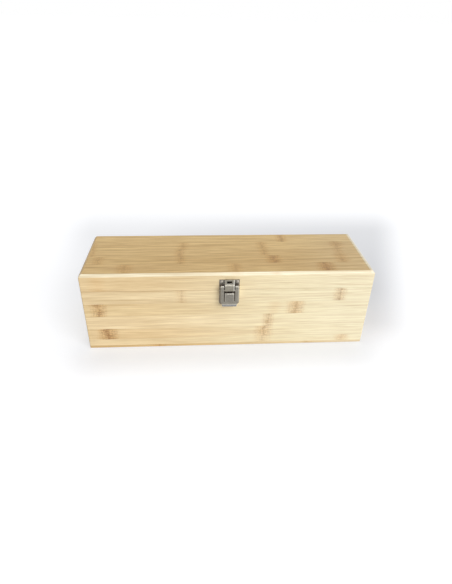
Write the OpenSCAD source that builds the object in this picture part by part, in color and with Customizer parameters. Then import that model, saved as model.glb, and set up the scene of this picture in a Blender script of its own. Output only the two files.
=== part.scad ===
// Long bamboo box for brushes, with a hinged lid and a small over-centre latch.
// Millimetres. X runs along the box, -Y is the front with the latch, Z is up.
// The origin is the centre of the underside.

/* [Box] */
// Outside length along X
box_length = 350; // [240:1:420]
// Outside depth along Y
box_depth = 109; // [80:1:150]
// Outside height of the closed box
box_height = 106.5; // [90:0.5:150]
// Height of the lid, from the seam to its top
lid_height = 22.5; // [20:0.5:40]
// Thickness of the four walls and of the lid's rails
wall_t = 8; // [7.5:0.5:12]
// Thickness of the board glued under the walls
bottom_t = 4; // [3:0.5:8]
// Thickness of the board glued on the lid's rails
top_t = 6; // [4.5:0.5:10]
// Width in height of the bevel round the lid's top
top_bevel = 3.2; // [0.5:0.1:4]
// Radius of the four upright corner edges
corner_r = 1.5; // [0.5:0.1:3]
// Bevel round the underside
bottom_bevel = 0.8; // [0.2:0.1:2]
// Part of the wall's thickness that laps over the end panels
lap_t = 4; // [2:0.5:5]
// Gap of the saw cut between the lid and the body
seam_gap = 0.3; // [0.1:0.05:0.6]

/* [Latch plates] */
// Width of the catch plate and the base plate
plate_w = 24; // [23:0.5:30]
// Height of the catch plate on the lid
catch_plate_h = 14.2; // [14:0.1:16]
// Height of the base plate on the body
base_plate_h = 19.4; // [19:0.1:28]
// Rounding of the base plate's lower corners
base_corner_r = 3; // [0.5:0.1:4]
// Distance from the seam's centre to each plate's edge
plate_to_seam = 0.4; // [0.3:0.05:0.8]
// Length of the root where each ear joins the base plate
ear_root_h = 9; // [6:0.5:12]
// Thickness of all the latch's sheet metal
sheet_t = 0.8; // [0.6:0.05:0.9]
// Distance of the catch plate's screws from its side edges
catch_screw_side = 2.6; // [2.4:0.1:3]
// Distance of the catch plate's screws from its top edge
catch_screw_drop = 3.1; // [2.4:0.1:4]
// Distance of the base plate's lower screws from its side edges
base_screw_side = 4.4; // [3:0.1:6]
// Distance of the base plate's lower screws from its bottom edge
base_screw_rise = 4; // [2.4:0.1:5]
// Distance of the base plate's upper screws from the middle
upper_screw_side = 4.05; // [3:0.05:5]
// Distance of the base plate's upper screws from its top edge
upper_screw_drop = 5.2; // [4:0.1:6]
// Height of the slot in the catch plate, above the hook
catch_slot_h = 2.9; // [2:0.1:3.2]
// Width of the catch hook
hook_w = 5.8; // [4:0.1:6]
// How far the hook stands out from the box
hook_out = 3.05; // [2.4:0.05:3.1]
// Height of the hook's turned-up lip
hook_lip_h = 0.9; // [0.5:0.1:1.5]
// Height of the hook's shelf above the seam
hook_up = 9.6; // [9:0.1:10]

/* [Latch lever] */
// Width of the lever over its cheeks
lever_w = 21.6; // [21.2:0.1:22.4]
// Distance of the lever's face from the box
lever_out = 6.2; // [6.1:0.1:7]
// Height of the lever's pivot above the seam
pivot_up = 6.3; // [6:0.1:7]
// Distance of the lever's pivot from the box
pivot_out = 3.7; // [3.6:0.05:3.8]
// Angle through which the lever's shoulders are rolled back
shoulder_roll = 60; // [40:1:65]
// Rounding of the shoulders, seen from the front
shoulder_r = 2.2; // [0.5:0.1:3]
// Distance from the pivot down to the start of the flared lip
lever_drop = 20.9; // [19:0.1:23]
// Height over which the cheeks narrow towards the lip
cheek_taper_h = 9; // [5:0.5:12]
// Radius of the flared lip
flare_r = 5; // [4:0.1:7]
// Angle through which the lip is flared
flare_angle = 50; // [30:1:60]
// Width of the cut at the lip's corners
lip_cut = 2.6; // [1:0.1:4]
// How far above the start of the lip its corners' cut begins
lip_cut_up = 1.8; // [0.4:0.1:3]
// Width of the gap on each side of the centre tab
tab_slot = 1.1; // [0.6:0.05:1.6]
// How far the pressed pad stands up from the centre tab
pad_rise = 0.3; // [0.1:0.05:0.5]
// Border between the pad and the tab's edge
pad_border = 0.9; // [0.6:0.1:2.5]
// Rounding of the pad's corners
pad_r = 1.4; // [0.4:0.1:2]

/* [Latch tongue] */
// Width of the tongue
tongue_w = 11.3; // [10:0.1:12]
// Height of the tongue's top edge above the seam
tongue_up = 15.9; // [15.2:0.1:17]
// Drop from the lever's pivot to the tongue's pin
pin_drop = 4.8; // [4.6:0.1:5.2]
// Drop from the tongue's pin to the centre tab's upper edge
tab_drop = 2.7; // [2.6:0.1:3.2]
// Distance of the tongue's pin from the box
pin_out = 3.5; // [3.4:0.05:3.6]
// Radius of the tongue's rolled knuckle
knuckle_r = 1.6; // [1.5:0.05:1.65]
// Width of the tongue's window
window_w = 6.6; // [6.2:0.1:8]
// Height of the tongue's window
window_h = 4; // [3:0.1:4]
// Height of the bar above the window
bar_h = 1.7; // [1:0.1:2]
// How far the window's end of the tongue is set back
joggle = 0.9; // [0.5:0.05:0.95]

/* [Hinges] */
// Distance of each hinge's middle from the end of the box
hinge_in = 65; // [40:1:90]
// Length of a hinge
hinge_len = 30; // [24:1:50]
// Reach of each leaf from the pin's centre
leaf_w = 11; // [9:0.5:14]
// Thickness of a leaf
leaf_t = 0.8; // [0.6:0.1:0.9]
// Radius of the hinge's barrel
barrel_r = 1.7; // [1.5:0.05:2]
// Rounding of the leaves' outer corners
leaf_corner_r = 1.5; // [0.5:0.1:2.5]
// Number of knuckles in a barrel
knuckles = 5; // [3:2:5]
// Gap between neighbouring knuckles
knuckle_gap = 0.2; // [0.1:0.05:0.4]
// Distance of the leaf screws from the hinge's ends
leaf_screw_in = 6; // [4:0.1:8]

/* [Pins and screws] */
// Radius of the hinge pins and the tongue's pin
pin_r = 0.8; // [0.6:0.05:0.85]
// Radius of the lever's rivets
rivet_r = 0.75; // [0.6:0.05:0.8]
// Height of the rivets' heads
rivet_head_h = 0.5; // [0.3:0.05:0.6]
// How far a rivet's head laps over its hole
head_over_r = 0.45; // [0.2:0.05:0.6]
// Radius of a screw's head
screw_head_r = 1.9; // [1.5:0.1:2]
// Height of a screw's domed head
screw_head_h = 0.7; // [0.4:0.1:0.7]
// Length of each arm of the cross recess in a screw's head
recess_len = 2.3; // [1.5:0.1:2.6]
// Width of the cross recess
recess_w = 0.6; // [0.4:0.1:0.8]
// Depth of the cross recess below the crown of the head
recess_depth = 0.4; // [0.2:0.05:0.4]
// Radius of a screw's shank
screw_r = 0.9; // [0.6:0.1:1.1]
// Depth of a screw in the wood
screw_len = 6; // [4:0.5:7]
// Running clearance of a pin in its knuckle
run_clear = 0.05; // [0.03:0.01:0.08]
// Clearance round a screw or a fixed pin
fixed_clear = 0.02; // [0.01:0.01:0.05]
// Clearance between parts that pass each other
pass_clear = 0.2; // [0.15:0.05:0.3]

/* [Hidden] */
$fn = 48;

front_y = -box_depth / 2;
back_y = box_depth / 2;
end_x = box_length / 2;
seam_z = box_height - lid_height;
rim_z = seam_z - seam_gap / 2;
lid_rim_z = seam_z + seam_gap / 2;
rail_top_z = box_height - top_t;

base_top_z = seam_z - plate_to_seam;
base_bottom_z = base_top_z - base_plate_h;
catch_bottom_z = seam_z + plate_to_seam;
catch_top_z = catch_bottom_z + catch_plate_h;
hook_z = seam_z + hook_up;

pivot_z = seam_z + pivot_up;
pin_z = pivot_z - pin_drop;
roll_r = lever_out - pivot_out;
lip_z = pivot_z - lever_drop;
lip_bottom_z = lip_z - (flare_r + sheet_t) * sin(flare_angle);
rail_in_x = tongue_w / 2 + tab_slot;
cheek_in_x = lever_w / 2 - sheet_t;
ear_out_x = cheek_in_x - pass_clear / 2;
ear_r = roll_r - sheet_t - pass_clear;
ear_back = sheet_t + 2 * pass_clear;
tab_half_w = tongue_w / 2;
tab_top_z = pin_z - tab_drop;
tab_bottom_z = lip_z + tab_slot / 2;
lug_out_x = rail_in_x + sheet_t;
lug_r = lever_out - sheet_t - pin_out;

tongue_out = pin_out + knuckle_r;
tongue_top_z = seam_z + tongue_up;
window_top_z = tongue_top_z - bar_h;
window_bottom_z = window_top_z - window_h;
joggle_z = window_bottom_z - sheet_t;

hinge_x = end_x - hinge_in;
hinge_y = back_y + barrel_r + knuckle_gap / 2;
leaf_edge = barrel_r + pass_clear;
knuckle_pitch = (hinge_len + knuckle_gap) / knuckles;
leaf_screw_z = (leaf_w + leaf_edge) / 2;

catch_screws = [
    for (side = [-1, 1]) [side * (plate_w / 2 - catch_screw_side), catch_top_z - catch_screw_drop]
];
base_screws = [
    for (side = [-1, 1]) [side * (plate_w / 2 - base_screw_side), base_bottom_z + base_screw_rise],
    for (side = [-1, 1]) [side * upper_screw_side, base_top_z - upper_screw_drop]
];
leaf_screw_x = [
    for (side = [-1, 1], end = [-1, 1]) side * hinge_x + end * (hinge_len / 2 - leaf_screw_in)
];

// A flat shape in (x, z), as thick as the span from y0 to y1
module upright(y0, y1) {
    translate([0, y1, 0]) rotate([90, 0, 0]) linear_extrude(y1 - y0) children();
}

// A flat shape in (y, z), carried along X from x0 to x1
module along_x(x0, x1) {
    translate([x0, 0, 0]) rotate([90, 0, 90]) linear_extrude(x1 - x0) children();
}

// A flat shape in (x, z) on the front wall, between two distances from the wall
module on_front(out0, out1) {
    upright(front_y - out1, front_y - out0) children();
}

// A side view of the latch in (distance from the wall, z), carried along X
module latch_slice(x0, x1) {
    along_x(x0, x1) translate([front_y, 0]) mirror([1, 0]) children();
}

module both_sides() {
    children();
    mirror([1, 0, 0]) children();
}

module rounded_rect(w, h, r) {
    square([w - 2 * r, h], center = true);
    square([w, h - 2 * r], center = true);
    for (sx = [-1, 1], sy = [-1, 1])
        translate([sx * (w / 2 - r), sy * (h / 2 - r)]) circle(r);
}

// A width by height section that stands on z0, bevelled at its top or bottom corners
module bevelled_section(w, z0, z1, bevel_top, bevel_bottom) {
    polygon([
        [-w / 2, z0 + bevel_bottom], [-w / 2 + bevel_bottom, z0],
        [w / 2 - bevel_bottom, z0], [w / 2, z0 + bevel_bottom],
        [w / 2, z1 - bevel_top], [w / 2 - bevel_top, z1],
        [-w / 2 + bevel_top, z1], [-w / 2, z1 - bevel_top]
    ]);
}

// A board as large as the box's plan, with rounded corners and bevelled edges
module cover_board(z0, z1, bevel_top, bevel_bottom) {
    intersection() {
        translate([0, 0, z0]) linear_extrude(z1 - z0)
            rounded_rect(box_length, box_depth, corner_r);
        upright(front_y, back_y)
            bevelled_section(box_length, z0, z1, bevel_top, bevel_bottom);
        along_x(-end_x, end_x)
            bevelled_section(box_depth, z0, z1, bevel_top, bevel_bottom);
    }
}

// A front wall whose two ends lap over the end walls, seen from above
module front_wall_plan() {
    intersection() {
        rounded_rect(box_length, box_depth, corner_r);
        union() {
            translate([-end_x, front_y]) square([box_length, lap_t]);
            translate([-end_x + wall_t, front_y]) square([box_length - 2 * wall_t, wall_t]);
        }
    }
}

module front_wall(z0, z1) {
    translate([0, 0, z0]) linear_extrude(z1 - z0) front_wall_plan();
}

module back_wall(z0, z1) {
    mirror([0, 1, 0]) front_wall(z0, z1);
}

module right_end_wall(z0, z1) {
    translate([end_x - wall_t, front_y + lap_t, z0])
        cube([wall_t, box_depth - 2 * lap_t, z1 - z0]);
}

// A screw along +Z with its head's underside at the origin
module screw() {
    dome_r = (screw_head_r * screw_head_r + screw_head_h * screw_head_h) / (2 * screw_head_h);
    translate([0, 0, -screw_len]) cylinder(r = screw_r, h = screw_len);
    difference() {
        intersection() {
            translate([0, 0, screw_head_h - dome_r]) sphere(dome_r, $fn = 96);
            cylinder(r = screw_head_r, h = screw_head_h * 2);
        }
        for (turn = [0, 90])
            rotate(turn)
                translate([-recess_len / 2, -recess_w / 2, screw_head_h - recess_depth])
                    cube([recess_len, recess_w, screw_head_h]);
    }
}

module screws_on_front(places) {
    for (p = places)
        translate([p[0], front_y - sheet_t, p[1]]) rotate([90, 0, 0]) screw();
}

// Pilot bores for screws that stand in the front wall
module front_pilots(places) {
    for (p = places)
        translate([p[0], front_y + screw_len, p[1]]) rotate([90, 0, 0])
            cylinder(r = screw_r + fixed_clear, h = screw_len + 2 * sheet_t);
}

module screws_on_back(side) {
    for (x = leaf_screw_x)
        translate([x, back_y + leaf_t, seam_z + side * leaf_screw_z]) rotate([-90, 0, 0]) screw();
}

// Pilot bores for screws that stand in the back wall
module back_pilots(side) {
    for (x = leaf_screw_x)
        translate([x, back_y - screw_len, seam_z + side * leaf_screw_z]) rotate([-90, 0, 0])
            cylinder(r = screw_r + fixed_clear, h = screw_len + 2 * leaf_t);
}

module front_panel() {
    color("#e9cf9c") difference() {
        front_wall(bottom_t, rim_z);
        front_pilots(base_screws);
    }
}

module back_panel() {
    color("#e6ca95") difference() {
        back_wall(bottom_t, rim_z);
        back_pilots(-1);
    }
}

module right_end_panel() {
    color("#ddbf88") right_end_wall(bottom_t, rim_z);
}

module left_end_panel() {
    color("#ddbf88") mirror([1, 0, 0]) right_end_wall(bottom_t, rim_z);
}

module bottom_panel() {
    color("#d2ad74") cover_board(0, bottom_t, 0, bottom_bevel);
}

module lid_top_panel() {
    color("#d3b582") cover_board(rail_top_z, box_height, top_bevel, 0);
}

module lid_front_rail() {
    color("#ebd2a2") difference() {
        front_wall(lid_rim_z, rail_top_z);
        front_pilots(catch_screws);
    }
}

module lid_back_rail() {
    color("#e6ca95") difference() {
        back_wall(lid_rim_z, rail_top_z);
        back_pilots(1);
    }
}

module lid_right_rail() {
    color("#dfc18b") right_end_wall(lid_rim_z, rail_top_z);
}

module lid_left_rail() {
    color("#dfc18b") mirror([1, 0, 0]) right_end_wall(lid_rim_z, rail_top_z);
}

// One ear of the base plate: it reaches up past the seam and carries the lever
module base_ear() {
    latch_slice(ear_out_x - sheet_t, ear_out_x) difference() {
        union() {
            translate([pivot_out, pivot_z]) circle(ear_r);
            polygon([
                [pivot_out - ear_r, pivot_z], [ear_back, catch_bottom_z],
                [ear_back, base_top_z], [sheet_t / 2, base_top_z],
                [sheet_t / 2, base_top_z - ear_root_h], [pivot_out, base_top_z - ear_root_h / 2],
                [pivot_out + ear_r, base_top_z], [pivot_out + ear_r, pivot_z]
            ]);
        }
        translate([pivot_out, pivot_z]) circle(rivet_r + fixed_clear);
    }
}

// The base plate from the front, with its lower corners rounded
module base_outline() {
    r = base_corner_r;
    translate([-plate_w / 2, base_bottom_z + r]) square([plate_w, base_plate_h - r]);
    translate([-plate_w / 2 + r, base_bottom_z]) square([plate_w - 2 * r, r]);
    for (side = [-1, 1]) translate([side * (plate_w / 2 - r), base_bottom_z + r]) circle(r);
}

module latch_base_plate() {
    color("#8f877a") {
        difference() {
            on_front(0, sheet_t) base_outline();
            front_pilots(base_screws);
        }
        both_sides() base_ear();
    }
}

module latch_base_screws() {
    color("#a8a196") screws_on_front(base_screws);
}

// The plate on the lid: a hook is cut from it and bent out, and leaves a slot above itself
module latch_catch_plate() {
    color("#938b7e") {
        difference() {
            on_front(0, sheet_t) difference() {
                translate([-plate_w / 2, catch_bottom_z]) square([plate_w, catch_plate_h]);
                translate([-hook_w / 2, hook_z]) square([hook_w, catch_slot_h]);
            }
            front_pilots(catch_screws);
        }
        latch_slice(-hook_w / 2, hook_w / 2) {
            translate([0, hook_z - sheet_t]) square([hook_out, sheet_t]);
            translate([hook_out - sheet_t, hook_z - sheet_t])
                square([sheet_t, sheet_t + hook_lip_h]);
        }
    }
}

module latch_catch_screws() {
    color("#a8a196") screws_on_front(catch_screws);
}

// The lever's outline from the front: rounded shoulders, and a lip with cut corners
module lever_outline() {
    half = lever_w / 2;
    top = pivot_z + roll_r;
    translate([0, top - half]) intersection() {
        rounded_rect(lever_w, lever_w, shoulder_r);
        translate([-half, 0]) square([lever_w, half]);
    }
    polygon([
        [-half, top - half], [-half, lip_z + lip_cut_up], [-half + lip_cut, lip_bottom_z],
        [half - lip_cut, lip_bottom_z], [half, lip_z + lip_cut_up], [half, top - half]
    ]);
}

// A pie shape about the origin that covers the angles from a0 to a1, as far as r
module pie(r, a0, a1) {
    mid = (a0 + a1) / 2;
    reach = r / cos((a1 - a0) / 4);
    polygon([
        [0, 0], r * [cos(a0), sin(a0)],
        reach * [cos((a0 + mid) / 2), sin((a0 + mid) / 2)],
        r * [cos(mid), sin(mid)],
        reach * [cos((mid + a1) / 2), sin((mid + a1) / 2)],
        r * [cos(a1), sin(a1)]
    ]);
}

// Side view of the lever's flat sheet between two heights
module lever_face_section(top_z, bottom_z) {
    translate([lever_out - sheet_t, bottom_z]) square([sheet_t, top_z - bottom_z]);
}

// Side view of the lever's sheet where it rolls back over the pivot
module shoulder_section() {
    translate([pivot_out, pivot_z]) intersection() {
        difference() {
            circle(roll_r);
            circle(roll_r - sheet_t);
        }
        pie(roll_r * 1.5, 0, shoulder_roll);
    }
}

// Side view of the flared lip, which curves away from the box
module lip_section() {
    translate([lever_out + flare_r, lip_z]) intersection() {
        difference() {
            circle(flare_r + sheet_t);
            circle(flare_r);
        }
        pie((flare_r + sheet_t) * 1.5, 180, 180 + flare_angle);
    }
}

// Side view of a cheek, bent back from the lever's edge and narrowed towards the lip
module cheek_section() {
    difference() {
        union() {
            translate([pivot_out, pivot_z]) circle(roll_r);
            polygon([
                [pivot_out - roll_r, pivot_z], [pivot_out - roll_r, pin_z],
                [pivot_out - roll_r, lip_z + cheek_taper_h], [lever_out - 2 * sheet_t, lip_z],
                [lever_out, lip_z], [lever_out, pivot_z]
            ]);
        }
        translate([pivot_out, pivot_z]) circle(rivet_r + run_clear);
    }
}

// A lug bent back from the face beside the tongue; it holds the tongue's pin
module lug_section() {
    difference() {
        union() {
            translate([pin_out, pin_z]) circle(lug_r);
            translate([pin_out, pin_z - lug_r])
                square([lever_out - sheet_t / 2 - pin_out, 2 * lug_r]);
        }
        translate([pin_out, pin_z]) circle(pin_r + fixed_clear);
    }
}

module latch_lever() {
    color("#989083") intersection() {
        on_front(0, lever_out + 2 * flare_r) lever_outline();
        union() {
            both_sides() {
                latch_slice(rail_in_x, lever_w / 2) {
                    lever_face_section(pivot_z, lip_z);
                    shoulder_section();
                }
                latch_slice(cheek_in_x, lever_w / 2) cheek_section();
                latch_slice(rail_in_x, lug_out_x) lug_section();
            }
            latch_slice(-tab_half_w, tab_half_w) lever_face_section(tab_top_z, lip_z);
            on_front(lever_out - sheet_t, lever_out + pad_rise)
                translate([0, (tab_top_z + tab_bottom_z) / 2])
                rounded_rect(tongue_w - 2 * pad_border, tab_top_z - tab_bottom_z - 2 * pad_border, pad_r);
            latch_slice(-lever_w / 2, lever_w / 2) {
                lever_face_section(tab_bottom_z, lip_z);
                lip_section();
            }
        }
    }
}

// Rivets that join the base plate's ears to the lever's cheeks
module lever_rivets() {
    outer_x = lever_w / 2 + pass_clear / 2;
    inner_x = ear_out_x - sheet_t;
    head_r = rivet_r + head_over_r;
    color("#a39c90") both_sides() translate([inner_x, front_y - pivot_out, pivot_z])
        rotate([0, 90, 0]) {
            translate([0, 0, -rivet_head_h]) cylinder(r = head_r, h = rivet_head_h);
            cylinder(r = rivet_r, h = outer_x - inner_x);
            translate([0, 0, outer_x - inner_x]) cylinder(r = head_r, h = rivet_head_h);
        }
}

// The tongue in side view: a knuckle on the pin, a flat face and a set-back end. The joggle
// slopes at 45 degrees, and bend keeps the sheet's thickness where the slope starts and ends.
module tongue_section() {
    bend = sheet_t * tan(22.5);
    difference() {
        union() {
            translate([pin_out, pin_z]) circle(knuckle_r);
            polygon([
                [tongue_out - sheet_t, pin_z], [tongue_out, pin_z],
                [tongue_out, joggle_z - joggle], [tongue_out - joggle, joggle_z],
                [tongue_out - joggle, tongue_top_z], [tongue_out - joggle - sheet_t, tongue_top_z],
                [tongue_out - joggle - sheet_t, joggle_z - bend],
                [tongue_out - sheet_t, joggle_z - joggle - bend]
            ]);
        }
        translate([pin_out, pin_z]) circle(pin_r + run_clear);
    }
}

module latch_tongue() {
    color("#9a9286") difference() {
        latch_slice(-tongue_w / 2, tongue_w / 2) tongue_section();
        on_front(hook_out, lever_out)
            translate([-window_w / 2, window_bottom_z]) square([window_w, window_h]);
    }
}

module tongue_pin() {
    head_x = lug_out_x;
    color("#a39c90") translate([0, front_y - pin_out, pin_z]) rotate([0, 90, 0]) {
        translate([0, 0, -head_x]) cylinder(r = pin_r, h = 2 * head_x);
        for (end = [-1, 1])
            translate([0, 0, end > 0 ? head_x : -head_x - rivet_head_h])
                cylinder(r = pin_r + head_over_r, h = rivet_head_h);
    }
}

// Start of one knuckle along the hinge, counted from the hinge's middle
function knuckle_start(i) = -hinge_len / 2 + i * knuckle_pitch;

// Side view of a knuckle with the strap that joins it to its leaf, side 1 is the lid's
module knuckle_section(side) {
    translate([hinge_y, seam_z]) difference() {
        union() {
            circle(barrel_r);
            translate([back_y - hinge_y, side > 0 ? 0 : -leaf_edge]) square([leaf_t, leaf_edge]);
        }
        circle(pin_r + (side > 0 ? run_clear : fixed_clear));
    }
}

module hinge_leaf(x, side) {
    first = side > 0 ? 1 : 0;
    difference() {
        upright(back_y, back_y + leaf_t)
            translate([x, seam_z + side * (leaf_edge + leaf_w) / 2]) leaf_outline(side);
        back_pilots(side);
    }
    for (i = [first:2:knuckles - 1])
        along_x(x + knuckle_start(i), x + knuckle_start(i) + knuckle_pitch - knuckle_gap)
            knuckle_section(side);
}

// A leaf's outline, square along the barrel and rounded at its two outer corners
module leaf_outline(side) {
    depth = leaf_w - leaf_edge;
    rounded_rect(hinge_len, depth, leaf_corner_r);
    translate([0, -side * depth / 4]) square([hinge_len, depth / 2], center = true);
}

module left_hinge_body_leaf() {
    color("#8f877a") hinge_leaf(-hinge_x, -1);
}

module right_hinge_body_leaf() {
    color("#8f877a") hinge_leaf(hinge_x, -1);
}

module left_hinge_lid_leaf() {
    color("#938b7e") hinge_leaf(-hinge_x, 1);
}

module right_hinge_lid_leaf() {
    color("#938b7e") hinge_leaf(hinge_x, 1);
}

module hinge_pin(x) {
    color("#a39c90") translate([x - hinge_len / 2, hinge_y, seam_z]) rotate([0, 90, 0])
        cylinder(r = pin_r, h = hinge_len);
}

module left_hinge_pin() {
    hinge_pin(-hinge_x);
}

module right_hinge_pin() {
    hinge_pin(hinge_x);
}

module hinge_body_screws() {
    color("#a8a196") screws_on_back(-1);
}

module hinge_lid_screws() {
    color("#a8a196") screws_on_back(1);
}

front_panel();
back_panel();
left_end_panel();
right_end_panel();
bottom_panel();
lid_top_panel();
lid_front_rail();
lid_back_rail();
lid_left_rail();
lid_right_rail();
latch_base_plate();
latch_base_screws();
latch_catch_plate();
latch_catch_screws();
latch_lever();
lever_rivets();
latch_tongue();
tongue_pin();
left_hinge_body_leaf();
right_hinge_body_leaf();
left_hinge_lid_leaf();
right_hinge_lid_leaf();
left_hinge_pin();
right_hinge_pin();
hinge_body_screws();
hinge_lid_screws();
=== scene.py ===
import math

import bmesh
import bpy
import numpy as np
from mathutils import Matrix, Vector


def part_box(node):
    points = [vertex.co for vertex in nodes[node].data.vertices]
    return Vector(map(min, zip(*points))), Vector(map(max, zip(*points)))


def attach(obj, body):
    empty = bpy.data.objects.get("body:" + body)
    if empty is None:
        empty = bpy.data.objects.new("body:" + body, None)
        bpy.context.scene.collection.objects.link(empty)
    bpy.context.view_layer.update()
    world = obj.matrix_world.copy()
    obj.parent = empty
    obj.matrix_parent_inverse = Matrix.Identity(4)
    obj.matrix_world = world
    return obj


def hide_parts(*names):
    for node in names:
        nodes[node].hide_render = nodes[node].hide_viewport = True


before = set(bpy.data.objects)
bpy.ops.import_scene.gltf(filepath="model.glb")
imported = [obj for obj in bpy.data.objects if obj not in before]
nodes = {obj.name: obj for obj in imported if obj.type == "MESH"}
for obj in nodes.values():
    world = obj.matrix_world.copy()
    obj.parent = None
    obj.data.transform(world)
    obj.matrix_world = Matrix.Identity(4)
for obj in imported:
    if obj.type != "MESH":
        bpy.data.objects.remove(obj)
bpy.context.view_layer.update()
mm = 0.001
boxHalfX, boxHalfY = (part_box("bottom_panel")[1][axis] / mm for axis in (0, 1))
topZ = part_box("lid_top_panel")[1].z / mm
seamZ = (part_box("front_panel")[1].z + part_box("lid_front_rail")[0].z) / 2 / mm
frontY = -boxHalfY
bevelWide = 3.2     # mm, round the top board's upper edges, as on the solid
print("frame loaded:", len(nodes), "nodes")


# One sRGB colour in hex, turned to linear light
def colour(hexText):
    parts = [int(hexText[i:i + 2], 16) / 255 for i in (1, 3, 5)]
    return [p / 12.92 if p <= 0.04045 else ((p + 0.055) / 1.055) ** 2.4 for p in parts] + [1.0]


# Adds one node with its settings, ramp stops and inputs; an input is a number, a node or a socket
def add(tree, kind, inputs=None, stops=None, **settings):
    node = tree.nodes.new("ShaderNode" + kind)
    for name, value in settings.items():
        setattr(node, name, value)
    if stops:
        while len(node.color_ramp.elements) < len(stops):
            node.color_ramp.elements.new(1.0)
        for element, (place, tint) in zip(node.color_ramp.elements, stops):
            element.position = place
            element.color = tint
    for name, value in (inputs or {}).items():
        socket = node.inputs[name] if isinstance(name, int) else next(
            s for s in node.inputs if s.enabled and s.name == name)
        if isinstance(value, bpy.types.Node):
            value = next(s for s in value.outputs if s.enabled)
        if isinstance(value, bpy.types.NodeSocket):
            tree.links.new(value, socket)
        else:
            socket.default_value = value
    return node


def newMaterial(name):
    material = bpy.data.materials.new(name)
    material.use_nodes = True
    material.node_tree.nodes.clear()
    return material, material.node_tree


# Colours laid one over the other on a tint, each by its own amount
def layered(tree, tint, layers):
    for amount, hexText in layers:
        tint = add(tree, "Mix", {"Factor": amount, "A": tint, "B": colour(hexText)},
                   data_type="RGBA")
    return tint


# The place on a piece in millimetres
def placeInMm(tree):
    spot = add(tree, "TexCoord").outputs["Object"]
    return add(tree, "VectorMath", {0: spot, 1: (1000, 1000, 1000)}, operation="MULTIPLY")


noiseRange = {"From Min": 0.3, "From Max": 0.7}     # nearly all of a noise pattern lies in it


# The photograph's camera, fitted to the box's edges
camera = {
    "place": (-37.5, -504.4, 364.6),   # mm
    "yaw": 4.27,                       # degrees to the right of +Y
    "pitch": 32.15,                    # degrees down
    "roll": 1.32,                      # degrees
    "focal": 444.9,                    # pixels
    "frame": (452, 584),               # pixels
}


def makeCamera(c):
    yaw, pitch, roll = (math.radians(c[k]) for k in ("yaw", "pitch", "roll"))
    ahead = np.array([math.sin(yaw) * math.cos(pitch), math.cos(yaw) * math.cos(pitch),
                      -math.sin(pitch)])
    level = np.cross(ahead, [0, 0, 1])
    level /= np.linalg.norm(level)
    above = np.cross(level, ahead)
    right = math.cos(roll) * level + math.sin(roll) * above
    up = math.cos(roll) * above - math.sin(roll) * level
    data = bpy.data.cameras.new("photoCamera")
    data.sensor_fit = "AUTO"
    data.sensor_width = 36
    data.lens = c["focal"] / max(c["frame"]) * data.sensor_width
    data.clip_start = 0.01
    data.clip_end = 50
    shown = bpy.data.objects.new("photoCamera", data)
    matrix = np.eye(4)
    matrix[:3, 0], matrix[:3, 1], matrix[:3, 2] = right, up, -ahead
    matrix[:3, 3] = np.array(c["place"]) * mm
    shown.matrix_world = Matrix(matrix.tolist())
    bpy.context.scene.collection.objects.link(shown)
    bpy.context.scene.camera = shown


makeCamera(camera)
print("camera placed")


# Plain studio: a white sweep under even soft light from the front right, and a lamp at the right
studio = {
    "skyFill": 0.36,        # world light on the object
    "keyFrom": (0.30, -0.50, 0.36), "keyPower": 2.06, "keyAngle": 60.0,
    "lampPlace": (0.62, -0.75, 0.34), "lampSize": 0.35, "lampPower": 1.0,
    "aim": (0, 0, 0.06),    # all lengths here are in metres
    "floorColour": "#c1c3c8", "floorSize": 60.0,
    # The sweep glows for the camera alone, so that it reads white far away. Round the box it glows
    # less, a painted shadow over a patch that widens towards the back: least at a dark spot behind the
    # right end, and more with the distance from that spot. Before the box the glow is set by itself.
    "farGlow": 0.68, "leftGlow": 0.60, "darkGlow": 0.27,
    "darkSpot": (0.24, 0.08, 0), "darkReach": 0.44,
    "backGlow": 0.53, "backReach": (0.05, 0.28),        # takes over from leftGlow behind the box
    "frontGlow": (0.425, 0.60), "frontHalf": (0.15, 0.215),     # in the middle, and past the ends
    "frontReach": (-0.075, -0.005),         # full up to the first Y, and gone at the second
    "patchLength": (-0.065, 0.285),         # Y of its front and back edges
    "patchTurn": 0.11,                      # its lean to the right for each metre back
    "patchWidth": (0.180, 0.25),            # half its front edge, and what it gains for each metre
    "patchFade": (0.080, 0.070, 0.15),      # past its sides, in front and behind
}


def aimLamp(name, data, place, aim):
    lamp = bpy.data.objects.new(name, data)
    lamp.location = place
    lamp.rotation_mode = "QUATERNION"
    lamp.rotation_quaternion = (Vector(aim) - Vector(place)).to_track_quat("-Z", "Y")
    bpy.context.scene.collection.objects.link(lamp)


# One for rays of the named kinds, which see the background, and zero for light that goes elsewhere
def seenBy(tree, *rays):
    path = add(tree, "LightPath")
    seen = path.outputs["Is " + rays[0] + " Ray"]
    for ray in rays[1:]:
        seen = add(tree, "Math", {0: seen, 1: path.outputs["Is " + ray + " Ray"]},
                   operation="MAXIMUM")
    return seen


def makeLights(s):
    key = bpy.data.lights.new("keyLight", "SUN")
    key.energy, key.angle = s["keyPower"], math.radians(s["keyAngle"])
    aimLamp("keyLight", key, s["keyFrom"], s["aim"])
    lamp = bpy.data.lights.new("sideLamp", "AREA")
    lamp.size, lamp.energy = s["lampSize"], s["lampPower"]
    aimLamp("sideLamp", lamp, s["lampPlace"], s["aim"])
    world = bpy.data.worlds.new("studio")
    bpy.context.scene.world = world
    world.use_nodes = True
    tree = world.node_tree
    tree.nodes.clear()
    seen = seenBy(tree, "Camera", "Glossy", "Transmission")
    strength = add(tree, "MapRange", {"Value": seen, "To Min": s["skyFill"], "To Max": 1.0})
    sky = add(tree, "Background", {"Color": (1, 1, 1, 1), "Strength": strength})
    add(tree, "OutputWorld", {"Surface": sky})
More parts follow.
